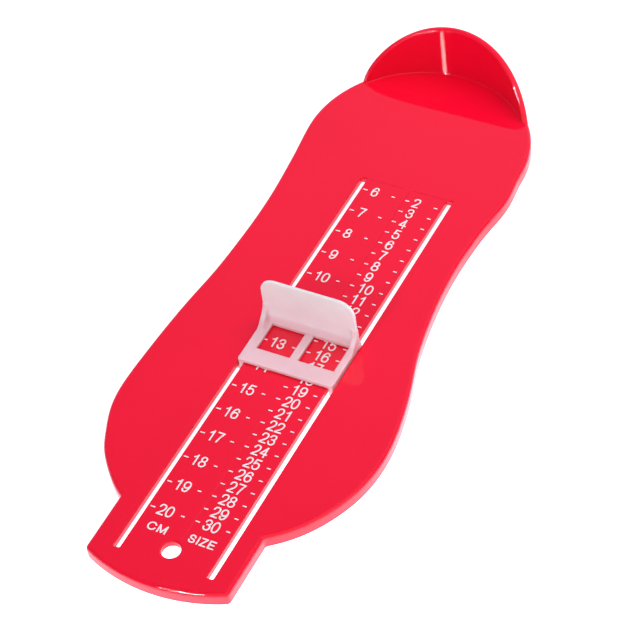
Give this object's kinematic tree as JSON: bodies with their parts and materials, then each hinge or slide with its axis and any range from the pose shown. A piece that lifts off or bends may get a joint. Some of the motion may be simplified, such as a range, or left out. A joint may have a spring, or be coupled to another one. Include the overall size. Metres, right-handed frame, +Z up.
{
  "type": "foot measuring gauge",
  "caption": "Sole-shaped foot length gauge: a moulded plate with a curved heel wall, parallel guide slots and raised scales, and a toe-stop slider with reading windows.",
  "frame": {"origin": "middle of the gauge's outer box, on the surface that it lies on", "axes": "+X to the right as the figures are read, +Y along the scale to the heel end, +Z up"},
  "size_m": [0.0878, 0.228, 0.0239],
  "materials": {
    "red_plastic": "polished injection-moulded plastic",
    "natural_plastic": "translucent unpigmented plastic with a soft sheen",
    "white_foil": "white foil on raised figures"
  },
  "bodies": {
    "plate": {"base_plate": "red_plastic", "cm_ticks": "white_foil", "cm_numerals": "white_foil", "size_ticks": "white_foil", "size_numerals": "white_foil", "unit_labels": "white_foil"},
    "toe_slider": {"slider": "natural_plastic"}
  },
  "joints": [
    {"name": "toe_slide", "type": "slide", "parent": "plate", "child": "toe_slider", "axis": [0, 1, 0], "range_m": [-0.0752, 0.0666]}
  ]
}
